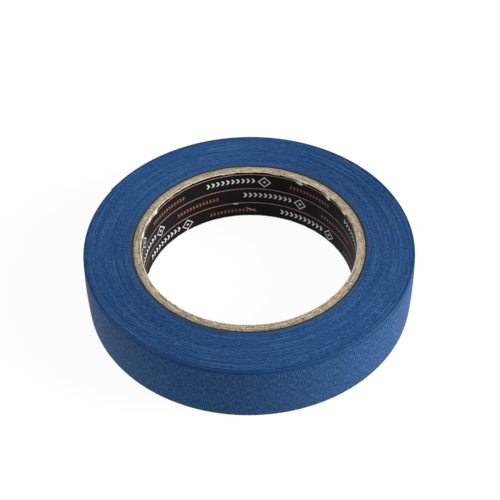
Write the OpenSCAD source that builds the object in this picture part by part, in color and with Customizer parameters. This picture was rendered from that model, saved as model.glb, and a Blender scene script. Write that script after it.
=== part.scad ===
// Roll of painter's masking tape on a spiral-wound paperboard core.
// The roll lies on its side: its axis is Z, and the origin is on the axis at the bottom face.
// The tape is one long strip, so its wound turns, its outermost turn and its free end are cut
// from one spiral. Each turn is made of two half-circles about two centres half a tape
// thickness apart, which makes the radius grow by one tape thickness in each full turn.

/* [Core] */
// Bore of the core, the standard 3 inch size
bore_d = 76.2; // [70:0.1:80]
// Thickness of one chipboard ply
ply_t = 0.55; // [0.3:0.05:0.8]
// Thickness of the printed paper liner inside the bore
liner_t = 0.15; // [0.1:0.05:0.3]
// Thickness of the kraft paper ply on the outside of the core
kraft_t = 0.3; // [0.15:0.05:0.5]
// How far each end of the core lies below the tape's side face
core_recess = 0.1; // [0:0.05:0.5]
// Angle between a ply's seam and the core's end
seam_angle = 28; // [22:1:35]
// Width of the gap where a ply's two edges meet
seam_gap = 0.25; // [0.1:0.05:0.5]

/* [Tape] */
// Width of the tape, which is the height of the lying roll
tape_w = 23; // [18:0.5:50]
// Thickness of the creped paper backing
backing_t = 0.1; // [0.08:0.01:0.2]
// Thickness of the adhesive coat under the backing
adhesive_t = 0.035; // [0.02:0.005:0.06]
// Number of full turns wound on the core
turns = 127; // [60:1:160]

/* [Free end] */
// Direction of the cut end of the tape, seen from above
end_angle = 150; // [0:1:359]
// Arc of tape that can be lifted, measured back from the cut end
end_arc = 25; // [10:1:45]
// Air between the liftable end and the turn under it
end_lift = 0.05; // [0.02:0.01:0.1]
// Cut between the liftable end and the turn that it continues
end_slit = 0.1; // [0.05:0.05:0.3]

/* [Hidden] */
$fn = 180;

tape_t = backing_t + adhesive_t;
bore_r = bore_d / 2;
ply_count = 5;                            // chipboard plies, one node each
core_h = tape_w - 2 * core_recess;
board_r = bore_r + liner_t;               // inside of the first chipboard ply
kraft_r = board_r + ply_count * ply_t;    // inside of the kraft ply
core_r = kraft_r + kraft_t;               // outside of the core
last_r = core_r + (turns - 1) * tape_t;   // inside of the outermost turn, where it starts
slit_arc = end_slit / last_r * 180 / PI;  // the slit as an angle
reach = 2 * last_r;                       // longer than any radius, for cutting shapes
seam_step = 137;                          // turns each ply's seam well away from its neighbours'
first_seam = 111;                         // direction of the liner's seam at mid height
over = 1;                                 // how far a cutting shape passes through a face

// Half of a disc, on the side of the X axis that flip picks: 0 for +Y, 1 for -Y.
module half_disc(r, h, flip) {
    intersection() {
        cylinder(r = r, h = h);
        mirror([0, flip, 0]) translate([-reach, 0, -over]) cube([2 * reach, reach, h + 2 * over]);
    }
}

// A disc whose edge grows by one tape thickness over a turn that starts on the X axis.
module spiral_disc(r, h) {
    half_disc(r, h, 0);
    translate([tape_t / 2, 0, 0]) half_disc(r + tape_t / 2, h, 1);
}

// A wedge from angle a to angle b about the Z axis, less than 180 degrees wide.
module wedge(a, b, h) {
    mid = (a + b) / 2;
    far = reach / cos((b - a) / 2);
    linear_extrude(height = h)
        polygon([[0, 0], [far * cos(a), far * sin(a)], [2 * far * cos(mid), 2 * far * sin(mid)],
                 [far * cos(b), far * sin(b)]]);
}

// One layer of the outermost turn, from its start to the slit before the liftable end.
module outer_turn_layer(inner, thickness) {
    rotate([0, 0, end_angle]) difference() {
        spiral_disc(last_r + inner + thickness, tape_w);
        translate([0, 0, -over]) spiral_disc(last_r + inner, tape_w + 2 * over);
        translate([tape_t / 2, 0, -over]) wedge(-end_arc - slit_arc, 0, tape_w + 2 * over);
    }
}

// One layer of the liftable end, concentric with the half turn that it finishes.
module tape_end_layer(inner, thickness) {
    r = last_r + tape_t / 2 + end_lift + inner;
    rotate([0, 0, end_angle]) translate([tape_t / 2, 0, 0]) intersection() {
        difference() {
            cylinder(r = r + thickness, h = tape_w);
            translate([0, 0, -over]) cylinder(r = r, h = tape_w + 2 * over);
        }
        wedge(-end_arc, 0, tape_w);
    }
}

// The slanted gap where the edges of a helically wound ply meet, centred at mid height.
module seam_cut(r, at) {
    depth = r / 2;
    rotate([0, 0, at]) translate([r - depth / 3, 0, tape_w / 2]) rotate([seam_angle, 0, 0])
        cube([depth, 2 * r, seam_gap], center = true);
}

// One ply of the core: a thin tube with its seam.
module ply(r, thickness, at) {
    difference() {
        translate([0, 0, core_recess]) cylinder(r = r + thickness, h = core_h);
        cylinder(r = r, h = tape_w);
        seam_cut(r, at);
    }
}

module core_liner() {
    color("#1c1a1b") ply(bore_r, liner_t, first_seam);
}

// A chipboard ply, counted outwards from 1.
module core_ply(n) {
    color("#b09a76") ply(board_r + (n - 1) * ply_t, ply_t, first_seam + n * seam_step);
}

module core_outer_ply() {
    color("#c9b48f") ply(kraft_r, kraft_t, first_seam + (ply_count + 1) * seam_step);
}

// All the turns under the outermost one, stuck to each other and to the core.
module tape_winding() {
    color("#2d4f7c") difference() {
        rotate([0, 0, end_angle]) spiral_disc(last_r, tape_w);
        translate([0, 0, -over]) cylinder(r = core_r, h = tape_w + 2 * over);
    }
}

module outer_turn_adhesive() {
    color("#d8cfa4") outer_turn_layer(0, adhesive_t);
}

module outer_turn_backing() {
    color("#2d4f7c") outer_turn_layer(adhesive_t, backing_t);
}

module tape_end_adhesive() {
    color("#d8cfa4") tape_end_layer(0, adhesive_t);
}

module tape_end_backing() {
    color("#2d4f7c") tape_end_layer(adhesive_t, backing_t);
}

core_liner();
core_ply(1);  // core_ply_1
core_ply(2);  // core_ply_2
core_ply(3);  // core_ply_3
core_ply(4);  // core_ply_4
core_ply(5);  // core_ply_5
core_outer_ply();
tape_winding();
outer_turn_adhesive();
outer_turn_backing();
tape_end_adhesive();
tape_end_backing();
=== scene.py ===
"""The looks of a roll of blue masking tape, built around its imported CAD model.

The roll lies on its side with its axis on Z. Lengths are in metres unless a name ends in _mm, and
angles are in degrees, anticlockwise from +X seen from above. A place on the tape is given by the
number of turns wound before it; within a turn, the sweep is the angle past the tape's cut end.
"""
import math

import bpy
import numpy as np
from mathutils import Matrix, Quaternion, Vector


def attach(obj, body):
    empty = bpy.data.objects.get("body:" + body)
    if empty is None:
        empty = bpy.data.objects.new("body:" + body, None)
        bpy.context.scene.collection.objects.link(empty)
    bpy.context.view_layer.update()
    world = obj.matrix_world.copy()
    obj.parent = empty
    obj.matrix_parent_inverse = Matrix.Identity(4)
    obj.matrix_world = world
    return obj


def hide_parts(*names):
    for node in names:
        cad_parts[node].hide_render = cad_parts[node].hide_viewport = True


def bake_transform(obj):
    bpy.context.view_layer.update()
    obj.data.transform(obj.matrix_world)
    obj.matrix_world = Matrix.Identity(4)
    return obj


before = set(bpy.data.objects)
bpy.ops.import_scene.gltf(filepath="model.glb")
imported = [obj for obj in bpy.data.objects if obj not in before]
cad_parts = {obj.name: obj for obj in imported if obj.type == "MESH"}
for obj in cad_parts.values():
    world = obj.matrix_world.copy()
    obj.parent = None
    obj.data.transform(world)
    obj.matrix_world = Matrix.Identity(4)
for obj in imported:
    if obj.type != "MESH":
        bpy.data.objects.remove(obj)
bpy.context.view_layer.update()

MM = 0.001

# ---------------------------------------------------------------- dimensions of the design

BORE_R = 38.1 * MM
LINER_T = 0.15 * MM
PLY_T = 0.55 * MM
PLIES = 5
KRAFT_T = 0.3 * MM
CORE_RECESS = 0.1 * MM
SEAM_SLANT = math.tan(math.radians(28))
FIRST_SEAM = 111
SEAM_STEP = 137

TAPE_W = 23 * MM
BACKING_T = 0.1 * MM
ADHESIVE_T = 0.035 * MM
TAPE_T = BACKING_T + ADHESIVE_T
TURNS = 127
END_ANGLE = 150
END_ARC = 25
SLIT = 0.1 * MM

LINER_R = BORE_R + LINER_T
KRAFT_R = LINER_R + PLIES * PLY_T
CORE_R = KRAFT_R + KRAFT_T
LAST_R = CORE_R + (TURNS - 1) * TAPE_T
OUTER_R = LAST_R + TAPE_T
SLIT_ARC = math.degrees(SLIT / LAST_R)

# ---------------------------------------------------------------- noise and shape helpers


def hashed(i, j, seed):
    """A fixed random value from -1 to 1 for each lattice point."""
    h = (i * 374761393 + j * 668265263 + seed * 2246822519) & 0xFFFFFFFF
    h = ((h ^ (h >> 13)) * 1274126177) & 0xFFFFFFFF
    return ((h ^ (h >> 16)) & 0xFFFF) / 32767.5 - 1.0


def noise(x, y, seed, wrap=0):
    """Smooth noise from -1 to 1 with one lattice cell to a unit. x repeats after wrap cells, if given."""
    x, y = np.broadcast_arrays(np.asarray(x, float), np.asarray(y, float))
    i = np.floor(x).astype(np.int64)
    j = np.floor(y).astype(np.int64)
    u = ease(x - i)
    v = ease(y - j)
    near, far = (i % wrap, (i + 1) % wrap) if wrap else (i, i + 1)
    low = hashed(near, j, seed) * (1 - u) + hashed(far, j, seed) * u
    high = hashed(near, j + 1, seed) * (1 - u) + hashed(far, j + 1, seed) * u
    return low * (1 - v) + high * v


def ease(t):
    """Smoothstep of t, held to the range from 0 to 1."""
    t = np.clip(t, 0, 1)
    return t * t * (3 - 2 * t)


def polar(radius, degrees, z):
    """Points as an array whose last axis is X, Y, Z."""
    a = np.radians(degrees)
    x, y, z = np.broadcast_arrays(radius * np.cos(a), radius * np.sin(a), z)
    return np.stack([x, y, z], -1)


def grid_faces(ids, flip=False):
    """Four-cornered faces over a grid of vertex numbers. With flip, they face the other way."""
    corners = [ids[:-1, :-1], ids[1:, :-1], ids[1:, 1:], ids[:-1, 1:]]
    if flip:
        corners[1:] = corners[:0:-1]
    return np.stack(corners, -1).reshape(-1, 4).tolist()


def loft(sections, ring):
    """(points, faces) of a closed skin over an array of loops: a ring, or a strip with capped ends."""
    count, size = sections.shape[:2]
    ids = np.arange(count * size).reshape(count, size)
    closed = np.concatenate([ids, ids[:, :1]], 1)
    if ring:
        faces = grid_faces(np.concatenate([closed, closed[:1]]))
    else:
        faces = grid_faces(closed) + [ids[0].tolist(), ids[-1, ::-1].tolist()]
    return sections.reshape(-1, 3), faces


def new_piece(name, points, faces, material, body="roll"):
    """A smooth-shaded mesh piece that rides on a body. Nothing rides where body is None."""
    mesh = bpy.data.meshes.new(name)
    mesh.from_pydata(points.tolist(), [], faces)
    mesh.materials.append(material)
    mesh.shade_smooth()
    mesh.set_sharp_from_angle(angle=math.radians(50))
    piece = bpy.data.objects.new(name, mesh)
    bpy.context.scene.collection.objects.link(piece)
    if body:
        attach(piece, body)
    return piece


def set_point_value(piece, name, values):
    """Stores one number for each vertex, for the material to read."""
    attribute = piece.data.attributes.new(name, "FLOAT", "POINT")
    attribute.data.foreach_set("value", np.asarray(values, np.float32).ravel())


def set_tape_uv(piece, along, z):
    """Maps the surface by metres along the tape and across it, given for each vertex."""
    mesh = piece.data
    corners = np.zeros(len(mesh.loops), np.int64)
    mesh.loops.foreach_get("vertex_index", corners)
    uv = np.stack([np.ravel(along)[corners], np.ravel(z)[corners]], -1)
    mesh.uv_layers.new(name="tape").data.foreach_set("uv", uv.astype(np.float32).ravel())


# ---------------------------------------------------------------- material helpers


class Graph:
    """A material's node tree, with short calls for the nodes that the materials here use.

    A value is a number or the socket that gives it.
    """

    def __init__(self, name):
        self.material = bpy.data.materials.new(name)
        self.material.use_nodes = True
        self.tree = self.material.node_tree
        self.shader = self.tree.nodes["Principled BSDF"]

    def put(self, socket, value):
        """Sets a socket to a number or colour, or links it to another socket."""
        if isinstance(value, bpy.types.NodeSocket):
            self.tree.links.new(value, socket)
        else:
            socket.default_value = value

    def shade(self, **inputs):
        """Sets the shader's inputs. Underscores in a name stand for spaces."""
        for name, value in inputs.items():
            self.put(self.shader.inputs[name.replace("_", " ")], value)

    def math(self, operation, *values):
        """An operation on one or two values."""
        node = self.tree.nodes.new("ShaderNodeMath")
        node.operation = operation
        for socket, value in zip(node.inputs, values):
            self.put(socket, value)
        return node.outputs[0]

    def plus(self, a, b):
        return self.math("ADD", a, b)

    def minus(self, a, b):
        return self.math("SUBTRACT", a, b)

    def times(self, a, b):
        return self.math("MULTIPLY", a, b)

    def over(self, a, b):
        return self.math("DIVIDE", a, b)

    def size(self, value):
        """A value without its sign."""
        return self.math("ABSOLUTE", value)

    def most(self, a, b):
        """The larger of two values."""
        return self.math("MAXIMUM", a, b)

    def weighted(self, *terms):
        """The sum of (value, weight) terms."""
        total = 0.0
        for value, weight in terms:
            total = self.plus(total, self.times(value, weight))
        return total

    def between(self, value, low, high):
        """A value's place from low to high as 0 to 1, eased at both ends."""
        node = self.tree.nodes.new("ShaderNodeMapRange")
        node.interpolation_type = "SMOOTHSTEP"
        for socket, given in zip(node.inputs, (value, low, high, 0.0, 1.0)):
            self.put(socket, given)
        return node.outputs[0]

    def inside(self, value, half, soft):
        """1 where a value is within half of 0, fading out over soft."""
        return self.between(self.size(value), half + soft / 2, half - soft / 2)

    def mix_value(self, share, a, b):
        """Number a where share is 0 and number b where it is 1."""
        return self.plus(a, self.times(share, b - a))

    def mix(self, share, a, b):
        """Colour a where share is 0 and colour b where it is 1."""
        node = self.tree.nodes.new("ShaderNodeMix")
        node.data_type = "RGBA"
        for socket, value in ((node.inputs[0], share), (node.inputs[6], a), (node.inputs[7], b)):
            self.put(socket, (*value, 1) if isinstance(value, tuple) and len(value) == 3 else value)
        return node.outputs[2]

    def noise(self, place, cells, detail=2.0, roughness=0.5):
        """Noise from 0 to 1 at a place (x, y, z). Its cells have one size, or a size along each."""
        sizes = cells if isinstance(cells, tuple) else (cells, cells, cells)
        vector = self.tree.nodes.new("ShaderNodeCombineXYZ")
        for socket, value, size in zip(vector.inputs, place, sizes):
            self.put(socket, self.over(value, size))
        node = self.tree.nodes.new("ShaderNodeTexNoise")
        node.inputs["Scale"].default_value = 1.0
        node.inputs["Detail"].default_value = detail
        node.inputs["Roughness"].default_value = roughness
        self.put(node.inputs["Vector"], vector.outputs[0])
        return node.outputs["Fac"]

    def attribute(self, name):
        """A value that the mesh holds for each vertex."""
        node = self.tree.nodes.new("ShaderNodeAttribute")
        node.attribute_name = name
        return node.outputs["Fac"]

    def parts_mm(self, vector):
        """A vector's x, y and z, from metres to millimetres."""
        parts = self.tree.nodes.new("ShaderNodeSeparateXYZ")
        self.put(parts.inputs[0], vector)
        return [self.times(part, 1 / MM) for part in parts.outputs]

    def position_mm(self):
        """(x, y, z) on the object in millimetres."""
        place = self.tree.nodes.new("ShaderNodeTexCoord")
        return self.parts_mm(place.outputs["Object"])

    def tape_mm(self):
        """(along, across) on the tape in millimetres."""
        uv = self.tree.nodes.new("ShaderNodeUVMap")
        uv.uv_map = "tape"
        return self.parts_mm(uv.outputs[0])[:2]

    def round_axis(self, x, y):
        """(radius, cosine, sine) of a place's direction from the roll's axis."""
        radius = self.math("SQRT", self.plus(self.times(x, x), self.times(y, y)))
        return radius, self.over(x, radius), self.over(y, radius)

    def bump(self, height_mm):
        """Tilts the shading by a height given in millimetres."""
        node = self.tree.nodes.new("ShaderNodeBump")
        node.inputs["Distance"].default_value = MM
        node.inputs["Strength"].default_value = 1.0
        self.put(node.inputs["Height"], height_mm)
        self.put(self.shader.inputs["Normal"], node.outputs[0])


# ---------------------------------------------------------------- materials
# Colours are linear red, green and blue. Cell sizes and other lengths in materials are in millimetres.

# painted shade: the dark line along the roll's outer corner, on the plain paper
BLUE_CORNER_SHADE = (0.004, 0.028, 0.095)
BLUE_DARK = (0.0085, 0.040, 0.115)
BLUE = (0.0155, 0.063, 0.168)
BLUE_PALE = (0.052, 0.124, 0.272)
# painted shade: the same dark corner line, a little lighter, on the rubbed glossy paper
BLUE_RUBBED_CORNER_SHADE = (0.009, 0.050, 0.155)
SHINE = (0.25, 0.55, 1.0, 1.0)
DULL = 0.03  # specular level of the paper as it is made
GLOSSY = 0.6  # and where its corners are rubbed


def creped_paper(name, specular, corner_shade_tone):
    """The tape's backing: blue paper with fine wrinkles across the tape and a faint waxy sheen, with painted
    shade along its upper corner.
    """
    g = Graph(name)
    along, across = g.tape_mm()
    bent = g.plus(along, g.times(g.noise((along, across, 0.0), (3, 3, 1)), 0.6))
    wrinkle = g.noise((bent, across, 0.0), (0.32, 1.9, 1), detail=1.0)
    fibre = g.noise((along, across, 0.0), (0.25, 0.8, 1))
    blotch = g.noise((along, across, 0.0), (5, 6, 1))
    tone = g.weighted((wrinkle, 0.7), (fibre, 0.3))
    colour = g.mix(g.between(tone, 0.36, 0.52), BLUE_DARK, BLUE)
    colour = g.mix(g.between(tone, 0.50, 0.66), colour, BLUE_PALE)
    colour = g.mix(g.times(g.between(blotch, 0.35, 0.7), 0.18), colour, BLUE_DARK)
    # painted shade: the wall is darkened within about 1 to 2 mm of its upper corner, as a dark line along the
    # corner
    corner = g.between(g.minus(TAPE_W / MM, across), 1.9, 0.9)
    colour = g.mix(g.times(corner, 0.6), colour, corner_shade_tone)
    g.shade(Base_Color=colour, Roughness=g.mix_value(fibre, 0.45, 0.65))
    g.shade(Specular_IOR_Level=specular, Specular_Tint=SHINE)
    g.shade(Sheen_Weight=0.042, Sheen_Roughness=0.4)
    g.bump(g.weighted((wrinkle, 0.05), (fibre, 0.02)))
    return g.material


EDGE_DARK = (0.010, 0.048, 0.148)
EDGE_BLUE = (0.020, 0.076, 0.218)
EDGE_PALE = (0.072, 0.165, 0.358)
EDGE_RIDGE = (0.085, 0.170, 0.350)
EDGE_DUSTY = (0.052, 0.080, 0.125)
# painted shade: the shadowed gap between the core and the tape
EDGE_SHADE_BY_CORE = (0.016, 0.020, 0.028)


def tape_edges(name, specular, rim_shade_tone):
    """The roll's flat sides: the slit edges of its turns, in streaks that follow them, with painted shade
    along the outer rim.
    """
    g = Graph(name)
    x, y, z = g.position_mm()
    radius, cosine, sine = g.round_axis(x, y)
    streak = g.noise((cosine, sine, radius), (0.025, 0.025, 0.24), roughness=0.6)
    band = g.noise((cosine, sine, radius), (0.8, 0.8, 0.6), detail=3.0, roughness=0.65)
    ridge = g.noise((cosine, sine, radius), (0.45, 0.45, 0.42), detail=0.0)
    speck = g.noise((x, y, z), 0.27, detail=1.0, roughness=0.6)
    tone = g.weighted((streak, 0.40), (speck, 0.38), (band, 0.22))
    colour = g.mix(g.between(tone, 0.38, 0.50), EDGE_DARK, EDGE_BLUE)
    colour = g.mix(g.between(tone, 0.50, 0.60), colour, EDGE_PALE)
    groove = g.minus(1.0, g.attribute("crest"))
    colour = g.mix(g.times(groove, 0.35), colour, BLUE_DARK)
    colour = g.mix(g.times(g.between(ridge, 0.62, 0.72), 0.4), colour, EDGE_RIDGE)
    from_core = g.minus(radius, CORE_R / MM)
    dust = g.mix_value(g.between(band, 0.38, 0.62), 0.4, 0.95)
    colour = g.mix(g.times(g.between(from_core, 1.7, 0.5), dust), colour, EDGE_DUSTY)
    # painted shade: the turns within about 0.3 mm of the core are darkened, for the gap between core and tape
    colour = g.mix(g.times(g.between(from_core, 0.3, 0.1), 0.8), colour, EDGE_SHADE_BY_CORE)
    # painted shade: a dark line on the outermost millimetre or so of each flat side; the same mask also makes
    # that rim smoother and glossier
    rim = g.between(g.minus(OUTER_R / MM, radius), 1.1, 0.5)
    colour = g.mix(g.times(rim, 0.65), colour, rim_shade_tone)
    g.shade(Base_Color=colour, Roughness=g.mix_value(rim, 0.72, 0.42))
    g.shade(Specular_IOR_Level=specular, Specular_Tint=SHINE)
    g.bump(g.weighted((streak, 0.05), (speck, 0.05)))
    return g.material


SCRAP_WHITE = (0.80, 0.76, 0.68)
GLUE_LINE_MM = 38.72  # radius of a brown line of glue in the core's end
OUTER_PLIES_MM = (39.8, 40.3)  # radii between which the core's end turns browner


def paper_scraps(g, cosine, sine, z, from_liner):
    """How far white paper, torn from the liner, covers the core's end by the bore: widest on -X."""
    ragged = g.noise((cosine, sine, z), (0.025, 0.025, 1), detail=3.0)
    widest = g.mix_value(g.between(cosine, 0.3, -0.6), 0.10, 0.28)
    past = g.minus(from_liner, g.times(g.between(ragged, 0.42, 0.60), widest))
    from_end = g.minus(TAPE_W / MM / 2, g.size(g.minus(z, TAPE_W / MM / 2)))
    return g.times(g.between(past, 0.04, -0.04), g.between(from_end, 0.4, 0.2))


def board(name, fleck_and_shade, tan, pale, shaded_past_mm):
    """Paperboard: matted fibres in plies, painted shade outside a rim, with scraps of white paper by the
    bore.
    """
    g = Graph(name)
    x, y, z = g.position_mm()
    radius, cosine, sine = g.round_axis(x, y)
    layers = g.noise((cosine, sine, radius), (0.08, 0.08, 0.28), detail=3.0)
    fibre = g.noise((x, y, z), 0.42, detail=4.0, roughness=0.65)
    fleck = g.noise((x, y, z), 0.75, detail=1.0)
    tone = g.weighted((layers, 0.55), (fibre, 0.45))
    colour = g.mix(g.between(tone, 0.39, 0.61), tan, pale)
    glue_line = g.inside(g.minus(radius, GLUE_LINE_MM), 0.15, 0.2)
    browned = g.most(g.between(radius, *OUTER_PLIES_MM), glue_line)
    colour = g.mix(g.times(browned, 0.4), colour, tan)
    from_liner = g.minus(radius, LINER_R / MM)
    through_ply = g.math("FRACT", g.over(from_liner, PLY_T / MM))
    seam = g.times(g.inside(g.minus(through_ply, 0.9), 0.12, 0.1), g.between(layers, 0.35, 0.6))
    colour = g.mix(g.times(seam, 0.55), colour, tan)
    colour = g.mix(g.times(g.between(fleck, 0.67, 0.71), 0.85), colour, fleck_and_shade)
    # painted shade: outside the given radius the board takes its flecks' colour; on the kraft ply this stands
    # for the shadowed gap between core and tape
    colour = g.mix(g.between(radius, shaded_past_mm - 0.08, shaded_past_mm + 0.08), colour, fleck_and_shade)
    scraps = paper_scraps(g, cosine, sine, z, from_liner)
    colour = g.mix(g.times(scraps, 0.85), colour, SCRAP_WHITE)
    g.shade(Base_Color=colour, Roughness=0.9, Specular_IOR_Level=0.1)
    g.bump(g.weighted((layers, 0.12), (fibre, 0.12)))
    return g.material


def adhesive():
    """The tape's rubber coat: a tacky film with small ripples, tinted by the blue paper behind it."""
    g = Graph("adhesive")
    ripple = g.noise(g.position_mm(), (0.5, 0.5, 1.5), detail=3.0)
    colour = g.mix(g.between(ripple, 0.3, 0.7), (0.028, 0.075, 0.170), (0.045, 0.105, 0.210))
    g.shade(Base_Color=colour, Roughness=g.mix_value(ripple, 0.3, 0.5), Specular_IOR_Level=0.15)
    g.bump(g.times(ripple, 0.04))
    return g.material


# The liner's print repeats in rows, each stepped round from the row above it. A place on it is u, in
# millimetres past its row's first chevron, and v, in millimetres down from the row's middle.
PRINT_REPEAT = 90  # degrees from one first chevron to the next in a row
PRINT_START = 114.6  # angle of a first chevron in the top row
PRINT_STEP = 21.5  # degrees clockwise from a row to the row under it
ROW_TOP_MM = 1.5  # from the roll's top down to the top row
ROW_MM = 7.2
DIAMOND_MM = 22.5  # place of a diamond's middle along its row
BORE_MM_PER_DEGREE = BORE_R / MM * math.pi / 180
SCUFF_ANGLE = 97.3
SCUFF_MM = 6.8  # height of the scuff

INK = (0.0052, 0.0049, 0.0041)
INK_BY_LINE = (0.0066, 0.0036, 0.0028)
INK_THIN = (0.0076, 0.0066, 0.0056)
LINE_RED = (0.42, 0.23, 0.20)
PRINT_ORANGE = (0.28, 0.118, 0.080)
PRINT_WHITE = (0.62, 0.63, 0.61)
BARE_PAPER = (0.78, 0.75, 0.68)


def print_place(g, angle, z):
    """(u, v) on the liner's print, for an angle and a height in the bore."""
    rows = g.over(g.minus(TAPE_W / MM - ROW_TOP_MM, z), ROW_MM)
    stepped = g.times(g.math("FLOOR", rows), PRINT_STEP)
    turned = g.minus(g.minus(PRINT_START + 4 * PRINT_REPEAT, angle), stepped)
    u = g.times(g.math("MODULO", turned, PRINT_REPEAT), BORE_MM_PER_DEGREE)
    v = g.times(g.minus(g.math("FRACT", rows), 0.5), ROW_MM)
    return u, v


def chevrons(g, u, v, first, count, cell, half_width, half_height):
    """A run of count plain chevrons, a cell apart from first on."""
    bent = g.plus(g.minus(u, first), g.times(g.size(v), 0.7))
    place = g.times(g.minus(g.math("FRACT", g.over(bent, cell)), 0.5), cell)
    stroke = g.times(g.inside(place, half_width, 0.12), g.inside(v, half_height, 0.15))
    half_run = count * cell / 2
    return g.times(stroke, g.inside(g.minus(bent, half_run), half_run, 0.02))


def diamond(g, u, v):
    """The outline of a plain diamond with a small solid one in its middle."""
    from_middle = g.plus(g.size(g.minus(u, DIAMOND_MM)), g.size(v))
    outline = g.inside(g.minus(from_middle, 2.3), 0.25, 0.12)
    return g.most(outline, g.inside(from_middle, 0.6, 0.12))


def printed_liner():
    """Black print on white paper: ruled lines, rows of chevrons and diamonds, and white torn edges."""
    g = Graph("printed_liner")
    x, y, z = g.position_mm()
    angle = g.times(g.math("ARCTAN2", y, x), 180 / math.pi)
    u, v = print_place(g, angle, z)
    grain = g.noise((x, y, z), 0.35, detail=3.0, roughness=0.6)
    patch = g.noise((x, y, z), 4)

    colour = g.mix(g.between(g.size(v), 1.6, 3.4), INK, INK_BY_LINE)
    colour = g.mix(g.times(g.between(patch, 0.4, 0.7), 0.5), colour, INK_THIN)
    lines = g.inside(g.minus(g.size(v), ROW_MM / 2), 0.13, 0.1)
    orange = chevrons(g, u, g.minus(v, 0.2), 32.4, 13, cell=1.42, half_width=0.26, half_height=0.75)
    white = chevrons(g, u, g.plus(v, 0.4), 0.3, 10, cell=1.93, half_width=0.37, half_height=1.05)
    white = g.most(white, diamond(g, u, v))
    wear = g.between(grain, 0.26, 0.44)
    for shape, tone in ((lines, LINE_RED), (orange, PRINT_ORANGE), (white, PRINT_WHITE)):
        colour = g.mix(g.times(shape, wear), colour, tone)

    along_scuff = g.inside(g.minus(angle, SCUFF_ANGLE), 1.3, 0.6)
    scuff = g.times(along_scuff, g.inside(g.minus(z, SCUFF_MM), 0.2, 0.1))
    bare = g.plus(g.most(g.attribute("bare"), scuff), g.times(g.minus(grain, 0.5), 0.9))
    colour = g.mix(g.between(bare, 0.42, 0.58), colour, BARE_PAPER)
    g.shade(Base_Color=colour, Roughness=0.6, Specular_IOR_Level=0.05)
    g.bump(g.times(grain, 0.03))
    return g.material


# The corner and rim colours given to these four materials are painted shade along the roll's outer corner.
CREPED = creped_paper("creped_paper", DULL, corner_shade_tone=BLUE_CORNER_SHADE)
CREPED_RUBBED = creped_paper("creped_paper_rubbed", GLOSSY, corner_shade_tone=BLUE_RUBBED_CORNER_SHADE)
EDGES = tape_edges("tape_edges", DULL, rim_shade_tone=BLUE_CORNER_SHADE)
EDGES_RUBBED = tape_edges("tape_edges_rubbed", GLOSSY, rim_shade_tone=BLUE_RUBBED_CORNER_SHADE)
# On the chipboard the shade radius lies outside the plies, so none shows; on the kraft ply nearly the whole
# end is painted shade, for the gap between core and tape.
CHIPBOARD = board("chipboard", fleck_and_shade=(0.07, 0.045, 0.03), tan=(0.21, 0.165, 0.105),
                  pale=(0.75, 0.635, 0.455), shaded_past_mm=CORE_R / MM)
KRAFT = board("kraft_paper", fleck_and_shade=(0.035, 0.03, 0.03), tan=(0.17, 0.14, 0.105),
              pale=(0.43, 0.375, 0.29), shaded_past_mm=KRAFT_R / MM - 0.05)
ADHESIVE = adhesive()
PRINTED = printed_liner()

# ---------------------------------------------------------------- the core

NOTCH_HALF = 0.35 * MM
NOTCH_DEPTH = 0.5 * MM
ROUNDED = 0.04 * MM  # how far a ply's two edges are pressed down


def seam_angle_at(z, middle):
    """Where a helical seam that passes through an angle at mid height lies at a height."""
    return middle + np.degrees((z - TAPE_W / 2) / SEAM_SLANT / BORE_R)


def end_height(angles, radius, seam, seed, low):
    """Height of a ply's cut end: flattened fibres, and a notch where the ply's seam comes out."""
    rough = noise(angles * 2, radius / (0.2 * MM), seed, wrap=720)
    rough = rough + 0.7 * noise(angles * 5 / 6, radius / (0.6 * MM), seed + 1, wrap=300)
    sunk = (0.05 + 0.045 * rough) * MM
    level = CORE_RECESS if low else TAPE_W - CORE_RECESS
    off_seam = (angles - seam_angle_at(level, seam) + 180) % 360 - 180
    notch = NOTCH_DEPTH * ease(1 - np.abs(np.radians(off_seam) * radius) / NOTCH_HALF)
    return level + sunk + notch if low else level - sunk - notch


def ply(name, inner, thickness, seam, seed, material):
    """One ply of the core, as a tube whose two ends show its matted fibres."""
    angles = np.arange(0, 360, 0.4)
    radii = np.linspace(inner + thickness, inner, 6)
    radii[1:-1] += 0.1 * (radii[1] - radii[0]) * np.array([1, -1, 1, -1])
    grid_angle, grid_radius = np.meshgrid(angles, radii, indexing="ij")
    edge = np.array([1, 0, 0, 0, 0, 1]) * ROUNDED
    top = end_height(grid_angle, grid_radius, seam, seed, low=False) - edge
    bottom = end_height(grid_angle, grid_radius, seam, seed + 50, low=True) + edge
    upper = polar(grid_radius, grid_angle, top)
    lower = polar(grid_radius, grid_angle, bottom)[:, ::-1]
    return new_piece(name, *loft(np.concatenate([upper, lower], 1), ring=True), material)


def core_plies():
    """The core's chipboard plies, from the inside out, and the kraft ply around them."""
    for n in range(1, PLIES + 1):
        inner = LINER_R + (n - 1) * PLY_T
        seam = FIRST_SEAM + n * SEAM_STEP
        piece = ply(f"chipboard_ply_{n}", inner, PLY_T, seam, 100 * n, CHIPBOARD)
        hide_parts(f"core_ply_{n}")
    seam = FIRST_SEAM + (PLIES + 1) * SEAM_STEP
    piece = ply("kraft_outer_ply", KRAFT_R, KRAFT_T, seam, 900, KRAFT)
    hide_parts("core_outer_ply")


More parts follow.
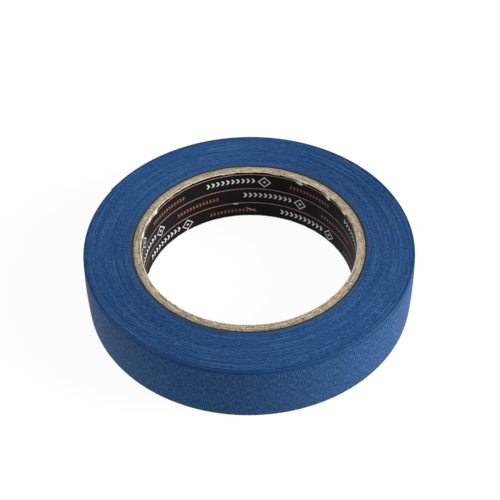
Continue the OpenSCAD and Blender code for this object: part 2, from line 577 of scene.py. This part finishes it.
# Damage along the liner's edges, as (angle, half width in degrees, depth in mm): where paper has torn
# away at the top, and where the printed face has peeled off the white paper under it. SEAM_OPEN is the
# range of heights in mm over which the liner's seam stands open.
TEARS = ((12, 6, 0.9), (20, 4, 0.7), (30, 5, 0.6), (35, 4, 0.3), (44.5, 3.5, 0.95), (64.5, 3, 1.1),
         (69, 3, 0.5), (76, 4, 0.45), (91, 5, 0.3), (102, 5, 0.35), (140, 2.5, 0.35), (157, 3.5, 1.1),
         (163, 4, 0.6), (214, 8, 0.7), (290, 6, 0.6))
PEELS = ((25, 4, 0.9), (40, 3, 1.2), (56, 2.5, 0.6), (60.5, 3.4, 1.5), (84, 2, 0.15), (104, 1.5, 0.3),
         (132, 1.5, 0.25), (152, 2.5, 0.5), (159, 4, 0.3), (172, 3.5, 0.9), (206, 7, 0.8), (300, 9, 0.7))
LOWER_PEELS = ((57, 4, 0.3), (65, 1.5, 0.45), (128, 1.5, 0.7), (144, 2, 0.4), (172, 5, 0.9))
SEAM_OPEN = (1.6, 9.0)
LINER_SECTIONS = 1441


def bumps(angles, spots):
    """Rounded bumps at some angles round the core, in metres."""
    total = np.zeros_like(angles)
    for middle, half, height in spots:
        off = np.abs((angles - middle + 180) % 360 - 180)
        total += height * MM * ease(1.25 * (1 - off / half))
    return total


def seam_half_gap(z):
    """Half the gap between the liner's two slanted edges, in degrees: open in places in its lower part."""
    low, high = SEAM_OPEN
    opened = ease((z / MM - low) / 0.8) * ease((high - z / MM) / 2.5)
    shut_again = ease(1 - np.abs(z / MM - 6.6) / 0.6)
    width = 0.03 + (0.17 + 0.09 * noise(z / (0.7 * MM), 0, 330)) * opened * (1 - shut_again)
    return np.degrees(width * MM / 2 / math.sin(math.atan(SEAM_SLANT)) / BORE_R)


def bare_paper(angles, z, low, high, from_seam, opened):
    """1 where the print has come off the liner at its two edges and beside its open seam, else down to 0."""
    from_top = 1 - (high - z) / (2 * (0.03 * MM + bumps(angles, PEELS)))
    from_bottom = 1 - (z - low) / (2 * (0.01 * MM + bumps(angles, LOWER_PEELS)))
    by_seam = opened * (0.9 - from_seam / (0.5 * MM))
    return np.maximum(np.maximum(from_top, from_bottom), by_seam).clip(0, 1)


def printed_liner_strip():
    """The liner: a strip of paper wound inside the core, whose two slanted edges nearly meet."""
    at_mid = np.linspace(0, 360, LINER_SECTIONS)
    lower_angles = seam_angle_at(0, FIRST_SEAM) + at_mid
    upper_angles = seam_angle_at(TAPE_W, FIRST_SEAM) + at_mid
    rag = noise(upper_angles * 1.5, 0, 320, wrap=540) + 0.6 * noise(upper_angles * 3, 0, 321, wrap=1080)
    fray = noise(lower_angles * 1.5, 0, 310, wrap=540)
    low = CORE_RECESS + (0.16 + 0.08 * fray) * MM
    torn = bumps(upper_angles, TEARS)
    high = TAPE_W - CORE_RECESS - 0.12 * MM - torn - (0.06 * MM + 0.2 * torn) * rag
    insets = np.array([0, 0.1, 0.2, 0.35, 0.5, 0.7, 0.9, 1.2, 1.6, 2.2]) * MM
    middle = np.linspace(0, 1, 14)[1:-1]
    rows = [low + (high - low - insets[-1]) * share for share in (0, 0.02, 0.045, *middle)]
    rows += [high - inset for inset in insets[::-1]]
    z = np.stack(rows, 1)
    half_gap = seam_half_gap(z)
    angles = seam_angle_at(z, FIRST_SEAM) + half_gap + (360 - 2 * half_gap) * at_mid[:, None] / 360
    lift = 0.02 * MM * noise(angles / 9, z / (6 * MM), 340, wrap=40)
    inner = polar(BORE_R + np.abs(lift), angles, z)
    back = polar(LINER_R, angles, z)[:, ::-1]
    piece = new_piece("printed_liner_strip", *loft(np.concatenate([inner, back], 1), ring=False), PRINTED)

    from_seam = np.minimum(at_mid, 360 - at_mid)[:, None] * math.radians(1) * BORE_R
    opened = ease((half_gap - half_gap.min()) / (half_gap.max() - half_gap.min()))
    bare = bare_paper(angles, z, low[:, None], high[:, None], from_seam, opened)
    set_point_value(piece, "bare", np.concatenate([bare, bare[:, ::-1]], 1))
    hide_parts("core_liner")


# ---------------------------------------------------------------- the tape

EDGE_RANGE = 0.1 * MM  # how far the heights of the turns' edges spread
GROOVE = 0.025 * MM  # depth of the line between two turns
CREPE_DEPTH = 0.022 * MM
CORNER = 0.42 * MM  # radius of the roll's worn corners
RUBBED = 0.38 * MM  # how far in from a corner the paper is rubbed glossy
CROWN = 0.3 * MM  # how far the wall bulges at mid height
END_LIFT = 0.05 * MM  # air under the free end
TIP_LIFT = 0.12 * MM  # how much further its tip lifts
WINDING_COLUMNS = 188
WALL_ROWS = 7
ADHESIVE_SECTIONS = 720
BACKING_SECTIONS = 2250
FREE_END_SECTIONS = 240


def growth(sweep):
    """How far a turn has moved outwards, by half-circles about two centres, as in the CAD model."""
    return np.where(sweep < 180, 0.0, TAPE_T / 2 * (1 + np.cos(np.radians(sweep))))


def edge_drop(turns):
    """How far the tape's edge lies below the roll's flat side, turns along the tape from the core."""
    own = noise(turns * 1.3, 0, 21)
    short = noise(turns * 11, 0, 22)
    group = noise(turns / 7, 0, 23)
    by_core = np.exp(-np.maximum(turns, 0) / 1.5)
    return EDGE_RANGE * (0.5 + 0.22 * own + 0.12 * short + 0.16 * group) + 0.12 * MM * by_core


def edge_rise(turns):
    """How far the tape's other edge lies above the roll's lower side: a wide drop goes with a narrow rise."""
    by_core = np.exp(-np.maximum(turns, 0) / 1.5)
    return EDGE_RANGE - 0.7 * edge_drop(turns) + 0.2 * MM * by_core


def worn(depth):
    """How far a face is cut back by a worn, rounded corner, at a depth in from the corner's other face."""
    inside = np.clip(CORNER - depth, 0, CORNER)
    return CORNER - np.sqrt(CORNER ** 2 - inside ** 2)


def rub_corners(piece, material):
    """Puts a glossier material on a piece's edge faces along the roll's two outer corners."""
    mesh = piece.data
    centres = np.zeros(3 * len(mesh.polygons))
    mesh.polygons.foreach_get("center", centres)
    x, y, z = centres.reshape(-1, 3).T
    slots = np.zeros(len(mesh.polygons), np.int32)
    mesh.polygons.foreach_get("material_index", slots)
    outside = np.hypot(x, y) > OUTER_R - RUBBED
    rubbed = outside & (np.minimum(z, TAPE_W - z) < RUBBED) & (slots == 0)
    mesh.materials.append(material)
    slots[rubbed] = len(mesh.materials) - 1
    mesh.polygons.foreach_set("material_index", slots)


def crowning(z):
    """How far the wall bulges at a height: the roll is slightly barrel-shaped."""
    return CROWN * (1 - (2 * z / TAPE_W - 1) ** 2)


def winding_radii(sweep):
    """Radii of the lines between turns, even rows, and of each turn's crest, odd rows."""
    lines = CORE_R + TAPE_T * (np.arange(TURNS + 1) - 1)[:, None] + growth(sweep)[None, :]
    lines = np.maximum(lines, CORE_R)
    radii = np.empty((2 * TURNS + 1, len(sweep)))
    radii[0::2] = lines
    radii[1::2] = lines[:-1] + 0.6 * (lines[1:] - lines[:-1])
    return radii


def winding_points(sweep, radii):
    """Grids of points on the roll's top, its bottom, and the wall between them."""
    angles = END_ANGLE + sweep
    row = np.arange(len(radii))[:, None]
    turns = row // 2 + sweep / 360
    before = turns - 1 + row % 2
    groove = GROOVE * (1 - row % 2)
    wear = worn(radii[-1] + TAPE_T - radii)
    drop = np.maximum(edge_drop(before), edge_drop(turns)) + groove + wear
    rise = np.maximum(edge_rise(before), edge_rise(turns)) + groove + wear
    top = polar(radii, angles, TAPE_W - drop)
    bottom = polar(radii, angles, rise)
    heights = np.linspace(TAPE_W, 0, WALL_ROWS + 2)[1:-1, None]
    wall = polar(radii[-1] + crowning(heights), angles, heights)
    return top, bottom, wall


def winding_faces(rows, columns):
    """Faces of the two sides, of the bore, and of the wall with the step at its cut end.

    On a side, each turn's last column is the first column of the turn around it.
    """
    top = np.arange(rows * columns).reshape(rows, columns)
    top[:-2, -1] = top[2:, 0]
    top[:3, 0] = top[0, 0]
    top[0, -1] = top[0, 0]
    bottom = top + top.size
    wall = 2 * top.size + np.arange(WALL_ROWS * columns).reshape(WALL_ROWS, columns)
    wall = np.concatenate([top[-1:], wall, bottom[-1:]])
    sides = grid_faces(top) + grid_faces(bottom, flip=True)
    bore = grid_faces(np.stack([top[0], bottom[0]]), flip=True)
    outside = grid_faces(wall[:, ::-1], flip=True)
    outside.append([*wall[::-1, 0], top[-2, -1], *wall[:, -1], bottom[-2, -1]])
    return sides, bore, outside


def compacted(faces):
    """(used, faces): the vertex numbers that faces use, and the faces renumbered to them."""
    faces = [list(dict.fromkeys(face)) for face in faces]
    used, renumbered = np.unique([i for face in faces for i in face], return_inverse=True)
    ends = np.cumsum([len(face) for face in faces])[:-1]
    return used, [part.tolist() for part in np.split(renumbered, ends)]


def winding():
    """All the turns under the outermost one, each with its own slit edges on the roll's two sides."""
    sweep = np.linspace(0, 360, WINDING_COLUMNS + 1)
    radii = winding_radii(sweep)
    grids = winding_points(sweep, radii)
    sides, bore, outside = winding_faces(*radii.shape)
    used, faces = compacted(sides + bore + outside)
    points = np.concatenate([grid.reshape(-1, 3) for grid in grids])
    piece = new_piece("wound_tape", points[used], faces, EDGES)
    piece.data.materials.append(CREPED)
    numbers = np.arange(len(faces))
    piece.data.polygons.foreach_set("use_smooth", numbers >= len(sides))
    on_wall = numbers >= len(sides) + len(bore)
    piece.data.polygons.foreach_set("material_index", on_wall.astype(np.int32))
    rub_corners(piece, EDGES_RUBBED)
    side_crest = np.repeat(np.arange(len(radii)) % 2, len(sweep))
    crest = np.concatenate([side_crest, side_crest, np.ones(grids[2][..., 0].size)])
    set_point_value(piece, "crest", crest[used])
    along = np.tile(np.radians(sweep) * LAST_R, len(points) // len(sweep))
    set_tape_uv(piece, along[used], points[used][:, 2])
    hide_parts("tape_winding")


def crepe(along, z):
    """Height of the backing's wrinkles, which run across the tape."""
    x = along / MM
    y = z / MM
    bent = x + 0.5 * noise(x / 3, y / 3, 11)
    coarse = noise(bent / 0.5, y / 2, 12)
    fine = noise(bent / 0.3, y / 1.1, 13)
    return CREPE_DEPTH * (0.6 * coarse + 0.4 * fine)


def tape_layer(sweep, radius, thickness, creped, cut=0.0):
    """Sections of one layer of the tape over a range of sweeps, its outer face creped or plain."""
    rim = np.array([0, 0.05, 0.12, 0.22, 0.35, 0.6]) * MM
    heights = np.concatenate([rim, np.linspace(1.2 * MM, TAPE_W - 1.2 * MM, 20), TAPE_W - rim[::-1]])
    turns = TURNS + sweep / 360
    cut_back = worn(0.5 * TAPE_T)
    low = edge_rise(turns)[:, None] + cut_back
    high = TAPE_W - edge_drop(turns)[:, None] - cut_back
    z = low + (high - low) * heights[None, :] / TAPE_W
    along = np.radians(sweep)[:, None] * LAST_R + np.zeros_like(z)
    nearing = ease((sweep - (sweep[-1] - 2)) / 2)[:, None]
    along = along + cut * nearing * noise(z / (0.5 * MM), 0, 41)
    angles = END_ANGLE + np.degrees(along / LAST_R)
    rounded = worn(cut_back + np.minimum(heights, TAPE_W - heights)) * thickness / TAPE_T
    relief = crepe(along, z) if creped else 0.0
    outer = polar(radius[:, None] + thickness + crowning(z) + relief - rounded[None, :], angles, z)
    back = np.linspace(z.shape[1] - 1, 0, 9).astype(int)
    inner = polar(radius[:, None] + crowning(z[:, back]), angles[:, back], z[:, back])
    sections = np.concatenate([outer, inner], 1)
    full_along = np.concatenate([along, along[:, back]], 1)
    full_z = np.concatenate([z, z[:, back]], 1)
    return sections, full_along, full_z


def outermost_turn():
    """The outermost turn's two layers, up to where the liftable end starts."""
    layers = (("outermost_turn_adhesive", "adhesive", ADHESIVE, 0.0, ADHESIVE_T, ADHESIVE_SECTIONS),
              ("outermost_turn", "backing", CREPED, ADHESIVE_T, BACKING_T, BACKING_SECTIONS))
    for name, layer, material, depth, thickness, count in layers:
        sweep = np.linspace(0, 360 - END_ARC - SLIT_ARC, count)
        radius = LAST_R + growth(sweep) + depth
        sections, along, z = tape_layer(sweep, radius, thickness, creped=material is CREPED)
        piece = new_piece(name, *loft(sections, ring=False), material)
        set_tape_uv(piece, along, z)
        if material is CREPED:
            rub_corners(piece, CREPED_RUBBED)
        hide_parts(f"outer_turn_{layer}")


def free_end():
    """The liftable end's two layers. They bend away from the roll over a few millimetres at the hinge."""
    start = 360 - END_ARC - SLIT_ARC
    sweep = np.linspace(start, 360, FREE_END_SECTIONS)
    lift = END_LIFT * ease((sweep - start) / 3) + TIP_LIFT * ease((sweep - 356) / 4)
    radius = LAST_R + growth(sweep) + lift
    layers = (("adhesive", ADHESIVE, 0.0, ADHESIVE_T), ("backing", CREPED, ADHESIVE_T, BACKING_T))
    for layer, material, depth, thickness in layers:
        creped = material is CREPED
        sections, along, z = tape_layer(sweep, radius + depth, thickness, creped, cut=0.1 * MM)
        piece = new_piece(f"free_end_{layer}", *loft(sections, ring=False), material, body=None)
        set_tape_uv(piece, along, z)
        if material is CREPED:
            rub_corners(piece, CREPED_RUBBED)
        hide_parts(f"tape_end_{layer}")
        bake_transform(piece)


# ---------------------------------------------------------------- studio


def studio_floor():
    """A plain white floor, lit from within a little, so that shadows on it stay faint."""
    g = Graph("studio_floor")
    cloud = g.noise(g.position_mm(), 400, detail=1.0)
    tone = g.mix(cloud, (0.07, 0.07, 0.07), (0.08, 0.08, 0.08))
    g.shade(Base_Color=tone, Roughness=0.9, Specular_IOR_Level=0.0)
    g.shade(Emission_Color=(1, 1, 1, 1), Emission_Strength=0.95)
    mesh = bpy.data.meshes.new("studio_floor")
    size = 4.0
    corners = [(-size, -size, 0), (size, -size, 0), (size, size, 0), (-size, size, 0)]
    mesh.from_pydata(corners, [], [(0, 1, 2, 3)])
    mesh.materials.append(g.material)
    floor = bpy.data.objects.new("studio_floor", mesh)
    bpy.context.scene.collection.objects.link(floor)


def direction(azimuth, elevation):
    """The unit vector from the roll towards an azimuth and an elevation."""
    a = math.radians(azimuth)
    e = math.radians(elevation)
    return Vector((math.cos(a) * math.cos(e), math.sin(a) * math.cos(e), math.sin(e)))


def softbox(name, azimuth, elevation, distance, size, power):
    """A square area light that stands at a distance in a direction and is aimed at the origin."""
    light = bpy.data.lights.new(name, "AREA")
    light.shape = "SQUARE"
    light.size = size
    light.energy = power
    lamp = bpy.data.objects.new(name, light)
    away = direction(azimuth, elevation)
    lamp.location = away * distance
    lamp.rotation_mode = "QUATERNION"
    lamp.rotation_quaternion = (-away).to_track_quat("-Z", "Y")
    bpy.context.scene.collection.objects.link(lamp)


def lights():
    """A key light from the right, a weak one from the left, one from behind, and a faint white world."""
    softbox("key_softbox", azimuth=-10, elevation=25.5, distance=1.0, size=0.5, power=16.5)
    softbox("left_softbox", azimuth=192, elevation=10, distance=1.2, size=0.6, power=4.4)
    softbox("back_softbox", azimuth=70, elevation=55, distance=1.2, size=0.8, power=3)
    world = bpy.data.worlds.new("studio")
    world.use_nodes = True
    background = world.node_tree.nodes["Background"]
    background.inputs["Color"].default_value = (1, 1, 1, 1)
    background.inputs["Strength"].default_value = 0.15
    bpy.context.scene.world = world


AIM = Vector((0.3, 0, 19.6)) * MM
CAMERA_DISTANCE = 437.5 * MM
CAMERA_ELEVATION = 45.26
CAMERA_ROLL = -0.81
LENS_MM = 88.6


def camera():
    """Looks down on the roll from the front with a long lens."""
    data = bpy.data.cameras.new("camera")
    data.sensor_width = 36
    data.lens = LENS_MM
    data.clip_start = 0.01
    view = bpy.data.objects.new("camera", data)
    away = direction(-90, CAMERA_ELEVATION)
    view.location = AIM + CAMERA_DISTANCE * away
    view.rotation_mode = "QUATERNION"
    tilt = Quaternion((0, 0, 1), math.radians(CAMERA_ROLL))
    view.rotation_quaternion = (-away).to_track_quat("-Z", "Y") @ tilt
    bpy.context.scene.collection.objects.link(view)
    bpy.context.scene.camera = view


camera()
lights()
studio_floor()
core_plies()
printed_liner_strip()
winding()
outermost_turn()
free_end()
bpy.context.scene.view_settings.view_transform = "Standard"
